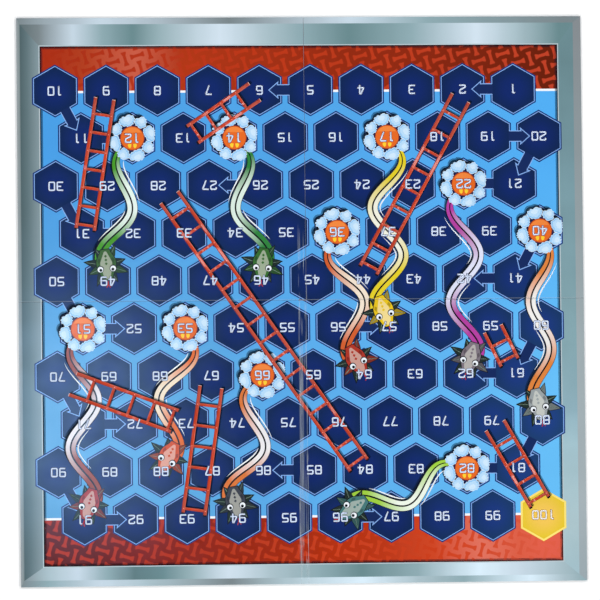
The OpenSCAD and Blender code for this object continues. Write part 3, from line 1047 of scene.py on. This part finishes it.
figures = {
    "width": 4.8 * mm, "height": 6.6 * mm, "stroke": 1.0 * mm, "edge": 0.26 * mm,
    "pitch": 5.75 * mm, "corner": 0.75 * mm, "cornerSteps": 3, "cornerShare": 1 / 2.2,
    "inks": {"white": ((216, 230, 255), 0.02), "edge": ((22, 34, 84), 0.03)},
    "goalInks": {"white": ((244, 240, 236), 0.02), "edge": ((150, 104, 46), 0.03)},
}
# Each figure is a set of strokes in shares of its width and height. One that ends at its start is closed.
figureShapes = {
    "0": [[(0, 0), (1, 0), (1, 1), (0, 1), (0, 0)]],
    "1": [[(0.16, 0.97), (0.56, 1), (0.56, -0.11)]],
    "2": [[(0, 0.74), (0, 1), (1, 1), (1, 0.58), (0, 0.28), (0, 0), (1.12, 0)]],
    "3": [[(-0.1, 1), (1, 1), (1, 0), (-0.1, 0)], [(0.28, 0.52), (0.95, 0.52)]],
    "4": [[(0.62, 1.1), (0, 0.27), (1.2, 0.27)], [(0.76, -0.11), (0.76, 1.1)]],
    "5": [[(1.08, 1), (0.02, 1), (0, 0.56), (1, 0.56), (1, 0), (-0.1, 0)]],
    "6": [[(1.0, 1), (0, 1), (0, 0), (1, 0), (1, 0.57), (0.1, 0.57)]],
    "7": [[(-0.12, 1), (1, 1), (0.36, -0.12)]],
    "8": [[(0, 0), (1, 0), (1, 1), (0, 1), (0, 0)], [(0.1, 0.52), (0.9, 0.52)]],
    "9": [[(0.0, 0), (1, 0), (1, 1), (0, 1), (0, 0.43), (0.9, 0.43)]],
}


def rounded(points, closed):
    f = figures
    out = []
    last = len(points) - 1
    for i, point in enumerate(points):
        here = Vector(point)
        if not closed and i in (0, last):
            out.append(here)
            continue
        before, after = Vector(points[i - 1]), Vector(points[(i + 1) % len(points)])
        a, b = before - here, after - here
        reach = min(f["corner"], a.length * f["cornerShare"], b.length * f["cornerShare"])
        a, b = here + a.normalized() * reach, here + b.normalized() * reach
        for k in range(f["cornerSteps"] + 1):
            t = k / f["cornerSteps"]
            out.append(a * (1 - t) ** 2 + here * 2 * t * (1 - t) + b * t ** 2)
    return out


def figureMesh(sign, inks):
    f = figures
    wide, tall = f["width"] - f["stroke"], f["height"] - f["stroke"]
    parts = []
    for index, shape in enumerate(figureShapes[sign]):
        closed = shape[0] == shape[-1]
        points = [((x - 0.5) * wide, (y - 0.5) * tall) for x, y in (shape[:-1] if closed else shape)]
        path = rounded(points, closed)
        for level, ink, grow in (("figures", "white", 0.0), ("figureEdges", "edge", f["edge"])):
            line = [p.copy() for p in path]
            if not closed:
                line[0] += (line[0] - line[1]).normalized() * grow
                line[-1] += (line[-1] - line[-2]).normalized() * grow
            part = plainStroke("figure", line, level, f["stroke"] + 2 * grow, inks[ink], closed=closed)
            parts.append(lift(part, 2 * index))
    return joined("figure" + sign, parts)


def printNumbers():
    inks, goalInks = inkSet("number", figures["inks"]), inkSet("goalNumber", figures["goalInks"])
    signs = {sign: figureMesh(sign, inks) for sign in figureShapes}
    placed = []
    for n in range(1, cells["goal"] + 1):
        text, middle = str(n), cellAt(n)
        for i, sign in enumerate(text):
            shift = (i - (len(text) - 1) / 2) * figures["pitch"]
            placed.append(copyAt(signs[sign], middle.x - shift, middle.y, math.pi))
            if n == cells["goal"]:
                for slot, ink in enumerate(goalInks.values()):
                    placed[-1].data.materials[slot] = ink
    discard(*signs.values())
    return joined("numberPrint", placed)


numberPrint = printNumbers()
print("numbers set")

# Wear: the creases are rubbed pale, and the fold across the board shows as a pale rubbed hairline with a
# painted shadow line beside it

wear = {
    "seed": 11, "rubs": 54, "leftBand": (-3.4, -0.4), "rightBand": (0.9, 3.2), "top": 38,
    "bottom": -199, "long": (5, 34), "wide": (0.16, 0.5), "lean": 0.012, "line": 0.26 * mm,
    "hairlines": (0.24 * mm, -0.14 * mm), "gutter": 3.6 * mm, "creases": (-2.6 * mm, 2.5 * mm),
    "creaseTop": -4 * mm, "milk": (-2.3 * mm, 0.2 * mm, -164 * mm, -30 * mm), "crowd": 1.25,
    "layers": 18, "pale": (rgb(226, 236, 242), 0.16), "faint": (rgb(210, 224, 234), 0.07),
    # dark: painted shadow of the fold, the darker of the two hairlines
    "dark": (rgb(20, 30, 40), 0.16),
    # Corners of a rub in shares of its lean, its half width and its half length
    "rub": ((-1, 0, -1), (0, 1, -0.3), (0, 0.7, 0.4), (1, 0, 1), (0, -1, 0.2), (0, -0.8, -0.5)),
}


def printWear():
    w = wear
    rubInk, faintInk, hairlineShadowInk = [
        shadowInk("rub" + tone.capitalize(), *w[tone]) for tone in ("pale", "faint", "dark")]
    chance = random.Random(w["seed"])
    pieces = []
    for k in range(w["rubs"]):  # more of them towards the lower edge
        x = chance.uniform(*(w["leftBand"] if k % 5 < 3 else w["rightBand"]))
        y = w["bottom"] + (w["top"] - w["bottom"]) * chance.random() ** w["crowd"]
        half = chance.uniform(*w["long"]) / 2
        y = max(y, w["bottom"] + half)
        wide = chance.uniform(*w["wide"]) / 2
        lean = w["lean"] * (chance.random() - 0.5) * half
        rub = outline("rub", [
            ((x + a * lean + b * wide) * mm, (y + c * half) * mm) for a, b, c in w["rub"]], "wear", rubInk)
        pieces.append(lift(rub, k % w["layers"]))
    pieces.append(lift(panel("milk", *w["milk"], "wear", faintInk), -1))
    half = w["line"] / 2
    # The first hairline is rubbed pale paper; the second, in the dark tone, is painted shadow of the fold
    for y, ink in zip(w["hairlines"], (rubInk, hairlineShadowInk)):
        for x0, x1 in ((-edge, -w["gutter"]), (w["gutter"], edge)):
            pieces.append(panel("hairline", x0, x1, y - half, y + half, "wear", ink))
    for x in w["creases"]:
        line = panel("creaseLine", x - half, x + half, -edge, w["creaseTop"], "wear", rubInk)
        pieces.append(lift(line, w["layers"] + 1))
    return joined("wearPrint", pieces)


wearPrint = printWear()
print("wear rubbed in")

# The print is cut where the board folds, and each cut part rides on what carries it

quarters = ("top_left", "top_right", "bottom_left", "bottom_right")
masters = [
    ("framePrint", framePrint, None, "printed_sheet"),
    ("bandPrint", bandPrint, "bands", "band_ink"),
    ("fieldPrint", fieldPrint, "field", "field_ink"),
    ("shadePrint", shadePrint, None, "field_ink"),
    ("cellPrint", cellPrint, "cells", "cell_ink"),
    ("goalPrint", goalPrint, "goal", "goal_ink"),
    ("snakePrint", snakePrint, "snakes", "snake_ink"),
    ("rosettePrint", rosettePrint, "rosettes", "rosette_ink"),
    ("ladderPrint", ladderPrint, "ladders", "ladder_ink"),
    ("numberPrint", numberPrint, None, "cell_ink"),
    ("wearPrint", wearPrint, None, "printed_sheet"),
]


def thicken(piece):
    activate(piece)
    modifier = piece.modifiers.new("film", "SOLIDIFY")
    modifier.thickness = films["thickness"]
    modifier.offset = -1
    bpy.ops.object.modifier_apply(modifier="film")


def boxes(part):  # the area of a quarter, strip or flap, from its sheet
    low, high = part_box(part)
    return low.x, high.x, low.y, high.y


def cutPart(name, master, area):
    for axis in (0, 1):
        places = [vertex.co[axis] for vertex in master.data.vertices]
        if min(places) >= area[2 * axis + 1] or max(places) <= area[2 * axis]:
            return None
    part = cutTo(copyAt(master, 0, 0), *area)
    part.name = name
    if not part.data.polygons:
        discard(part)
        return None
    return part


def placeQuarter(quarter):
    area = boxes("face_" + quarter)
    for name, master, kind, slot in masters:
        part = cutPart(name + "_" + quarter, master, area)
        if part is None:
            continue
        thicken(part)
        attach(part, quarter)
        node = "goal_cell" if kind == "goal" else "%s_%s" % (kind, quarter)
        if kind and node in nodes:
            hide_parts(node)


for quarter in quarters:
    placeQuarter(quarter)
print("quarters cut")


def copyOfNode(node, name):
    piece = nodes[node].copy()
    piece.data = nodes[node].data.copy()
    for key in list(piece.keys()):
        if key.startswith("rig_"):
            del piece[key]
    piece.parent = None
    piece.name = name
    bpy.context.collection.objects.link(piece)
    activate(piece)
    bpy.ops.object.mode_set(mode="EDIT")
    bpy.ops.mesh.select_all(action="SELECT")
    bpy.ops.mesh.remove_doubles(threshold=1e-7)
    bpy.ops.object.mode_set(mode="OBJECT")
    return piece


def partsIn(suffix, area, cuts=()):  # all artwork over an area, in one piece
    parts = [cutPart(name + suffix, master, area) for name, master, kind, slot in masters]
    piece = bisected(joined("artwork" + suffix, [part for part in parts if part]), cuts)
    thicken(piece)
    return piece


greyboardInk = flatInk("greyboard", rgb(138, 132, 122), 0.16, {**paper, "roughness": 0.9})
liningInk = flatInk("liningPaper", rgb(28, 52, 104), 0.10, {**paper, "roughness": 0.62})

# Creases: the sheet there is cut into eight short strips, with the lining under it

creases = {"steps": 8}
sheetInk = steelRun("sheetPaper", [(0.0, "grey"), (0.5, "mid"), (1.0, "grey")])


def planes(axis, places):
    normal = [0, 0, 0]
    normal[axis] = 1
    return [([place * n for n in normal], normal) for place in places]


def crease(node, name, axis):
    area = boxes(node)
    low, high = area[2 * axis], area[2 * axis + 1]
    count = creases["steps"]
    cuts = planes(axis, [low + (high - low) * i / count for i in range(1, count)])
    near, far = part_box("liner_bottom_left")[0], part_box("liner_top_right")[1]
    sheet = bisected(
        paint(copyOfNode(node, name), sheetInk, liningInk),
        cuts + planes(1, (near.y, far.y)) + planes(0, (near.x, far.x)))
    for face in sheet.data.polygons:
        lined = near.x < face.center.x < far.x and near.y < face.center.y < far.y
        face.material_index = 1 if lined and face.normal.z < -0.5 else 0
    piece = joined(name, [sheet, partsIn(name, area, cuts)])
    start = [(area[0] + area[1]) / 2, (area[2] + area[3]) / 2, faceTop]
    end = list(start)
    start[axis], end[axis] = low, high
    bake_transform(piece)
    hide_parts(node)


crease("left_fold_crease", "leftFold", 1)
crease("right_fold_crease", "rightFold", 1)
crease("spine_crease_left", "spineFoldLeft", 0)
crease("spine_crease_right", "spineFoldRight", 0)
spineArt = partsIn("Spine", boxes("spine_print"))
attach(spineArt, "spine")
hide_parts("field_spine", "bands_spine", "cells_spine", "ladders_spine")
print("creases made")

# The loose flap: its artwork, sheet and lining ride on the upper left quarter

flapArt = partsIn("Flap", boxes("flap_print"))
flapSheet = paint(copyOfNode("flap_print", "flapSheet"), sheetInk)
flapLining = copyOfNode("flap_liner", "flapLining")
for piece, replaced, slot in (
        (flapArt, ("field_flap", "bands_flap", "cells_flap"), "printed_sheet"),
        (flapSheet, ("flap_print",), "printed_sheet"),
        (flapLining, ("flap_liner",), "lining_paper")):
    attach(piece, "top_left")
    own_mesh(piece)
    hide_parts(*replaced)
for name, master, kind, slot in masters:
    discard(master)
print("flap made")

# Board and paper take their finish

for quarter in quarters:
    paint(nodes["core_" + quarter], greyboardInk)
    paint(nodes["face_" + quarter], sheetInk)
    paint(nodes["liner_" + quarter], liningInk)
paint(nodes["spine_print"], sheetInk)
paint(nodes["spine_liner"], liningInk)
paint(flapLining, liningInk)
print("paper finished")

# Floor, lights and camera

studio = {
    "floor": 14.0, "floorWhite": 0.9, "floorGlow": 0.12, "floorDrop": 0.01 * mm,
    "ringRadius": 6.5, "ringHeight": 4.5, "ringGlow": 0.25, "ringDrop": 0.02 * mm,
    "fadeStart": 0.9, "fadeEnd": 3.4, "worldGrey": 0.10,
    "keyPower": 17.4, "keyShares": (1.0, 0.92, 1.0, 1.1), "keySize": 1.0, "keyAway": 1.5,
    "keyHigh": 1.9, "underPower": 24.0, "underDepth": -1.8,
    "hazePower": 1.15, "hazeSize": (0.265, 0.235), "hazeColour": (0.38, 0.65, 1.0),
    "hazePlace": (-0.128, -0.055, 2.2),
}


def seenRays(tree, unseen, seen):  # one strength for what is looked at, another for its light
    rays = addNode(tree, "LightPath", {}).outputs
    both = maths(tree, "MAXIMUM", rays["Is Camera Ray"], rays["Is Glossy Ray"])
    every = maths(tree, "MAXIMUM", both, rays["Is Transmission Ray"])
    return mapped(tree, every, 0.0, 1.0, unseen, seen)


def floorMaterial():
    ink, tree, shader = newInk("floorWhite")
    plug(tree, shader, {
        "Base Color": (studio["floorWhite"],) * 3 + (1,), "Roughness": 0.9,
        "Specular IOR Level": 0.0, "Emission Color": (1, 1, 1, 1),
        "Emission Strength": seenRays(tree, 0.0, studio["floorGlow"])})
    back = addNode(tree, "NewGeometry", {}).outputs["Backfacing"]
    shadow = addNode(tree, "LightPath", {}).outputs["Is Shadow Ray"]
    clear = addNode(tree, "BsdfTransparent", {})  # from below, and for the lamp below
    mix = addNode(tree, "MixShader", {
        0: maths(tree, "MAXIMUM", back, shadow), 1: shader.outputs[0], 2: clear.outputs[0]})
    plug(tree, tree.nodes["Material Output"], {"Surface": mix.outputs[0]})
    return ink


def backdropMaterial():  # white at the floor and grey higher up
    ink, tree, shader = newInk("backdropWhite")
    tree.nodes.remove(shader)
    fade = along(tree, "Z", studio["fadeStart"], studio["fadeEnd"])
    seen = mapped(tree, fade, 0.0, 1.0, 1.0, studio["worldGrey"])
    glow = addNode(tree, "Emission", {"Strength": seenRays(tree, studio["ringGlow"], seen)})
    plug(tree, tree.nodes["Material Output"], {"Surface": glow.outputs[0]})
    return ink


bpy.ops.mesh.primitive_plane_add(size=studio["floor"], location=(0, 0, -studio["floorDrop"]))
floor = bpy.context.active_object
floor.name = "floor"
paint(floor, floorMaterial())

bpy.ops.mesh.primitive_cylinder_add(
    vertices=96, radius=studio["ringRadius"], depth=studio["ringHeight"], end_fill_type="NOTHING",
    location=(0, 0, studio["ringHeight"] / 2 - studio["ringDrop"]))
ring = settle(bpy.context.active_object)
ring.name = "backdrop"
paint(ring, backdropMaterial())

world = bpy.context.scene.world or bpy.data.worlds.new("studio")
bpy.context.scene.world = world
world.use_nodes = True
backdrop = world.node_tree.nodes["Background"]
backdrop.inputs["Color"].default_value = (studio["worldGrey"],) * 3 + (1,)


def areaLight(name, place, power, size, wide=None):
    data = bpy.data.lights.new(name, "AREA")
    data.shape = "RECTANGLE" if wide else "SQUARE"
    data.size, data.size_y = size, wide or size
    data.energy = power
    lamp = bpy.data.objects.new(name, data)
    bpy.context.collection.objects.link(lamp)
    lamp.location = place
    lamp.rotation_euler = (-Vector(place)).to_track_quat("-Z", "Y").to_euler()
    return lamp


for k, share in enumerate(studio["keyShares"]):
    place = (*polar(studio["keyAway"], math.pi / 4 + k * math.pi / 2), studio["keyHigh"])
    areaLight("softbox%d" % (k + 1), place, studio["keyPower"] * share, studio["keySize"])
areaLight("underLight", (0, 0, studio["underDepth"]), studio["underPower"], studio["keySize"])

# A small window light that the varnish of one corner shows
window = areaLight("window", studio["hazePlace"], studio["hazePower"], *studio["hazeSize"])
window.data.color = studio["hazeColour"]
window.rotation_euler = (0, 0, 0)
window.visible_camera = False

camera = {
    "lens": 300.0, "sensor": 36.0, "place": (-278.0 * mm, -117.1 * mm, 3515.8 * mm),
    "turn": (1.951, -4.476, -0.614),
}
cameraData = bpy.data.cameras.new("camera")
cameraData.lens = camera["lens"]
cameraData.sensor_width = camera["sensor"]
cameraObject = bpy.data.objects.new("camera", cameraData)
bpy.context.collection.objects.link(cameraObject)
cameraObject.location = camera["place"]
cameraObject.rotation_euler = [math.radians(a) for a in camera["turn"]]
bpy.context.scene.camera = cameraObject
bpy.context.scene.view_settings.view_transform = "Standard"

print("scene ready")
